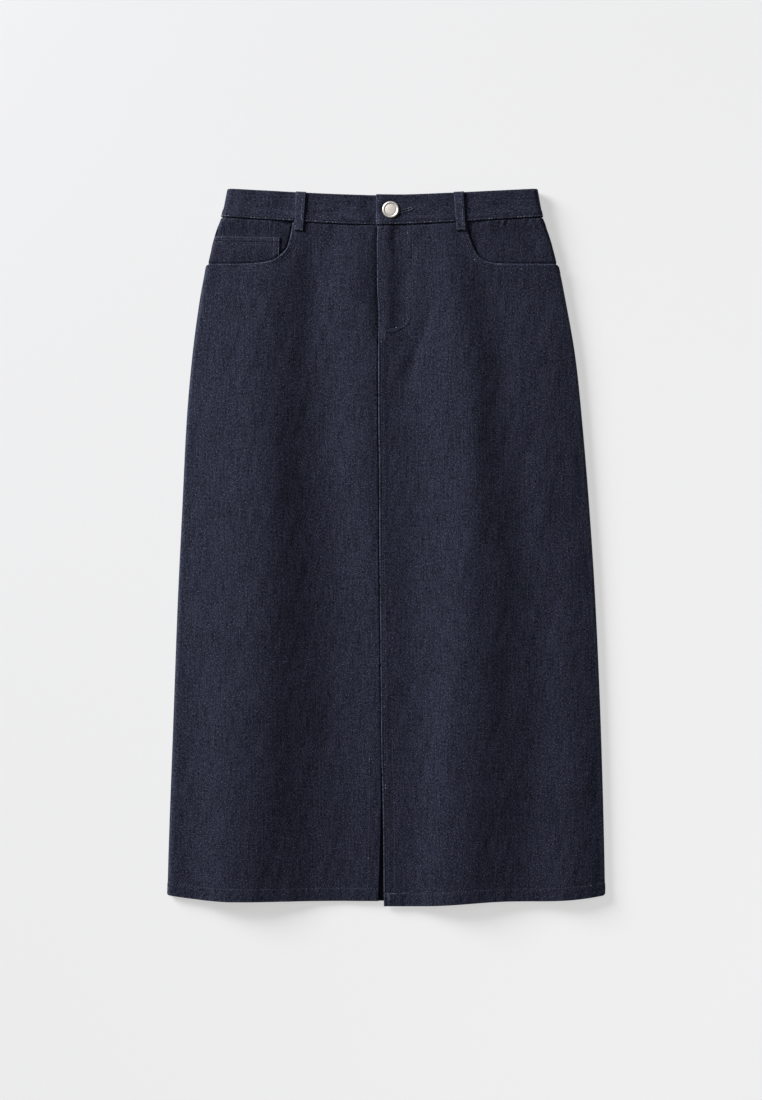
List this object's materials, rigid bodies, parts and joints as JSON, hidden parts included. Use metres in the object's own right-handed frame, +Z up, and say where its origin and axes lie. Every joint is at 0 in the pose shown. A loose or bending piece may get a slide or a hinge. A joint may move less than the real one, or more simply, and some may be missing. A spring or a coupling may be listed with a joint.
{
  "type": "denim skirt laid flat",
  "caption": "Straight midi skirt in dark denim, laid flat, with a buttoned waistband, belt loops, curved front pockets and a slit up the middle of the front.",
  "frame": {"origin": "middle of the skirt's outline on the surface it lies on", "axes": "+Z up from the surface, through the front; +Y from the hem to the waist; +X to the right of someone looking down on the front"},
  "size_m": [0.481, 0.7873, 0.0217],
  "materials": {
    "denim": "dark indigo cotton twill, matt",
    "button_metal": "nickel-coloured, satin"
  },
  "bodies": {
    "root": {"front_left": "denim", "front_right": "denim", "back": "denim", "waistband": "denim", "belt_loop_front_left": "denim", "belt_loop_front_right": "denim", "belt_loop_back_left": "denim", "belt_loop_back_centre": "denim", "belt_loop_back_right": "denim", "pocket_facing_left": "denim", "pocket_facing_right": "denim", "coin_pocket": "denim", "button": "button_metal"}
  },
  "joints": []
}
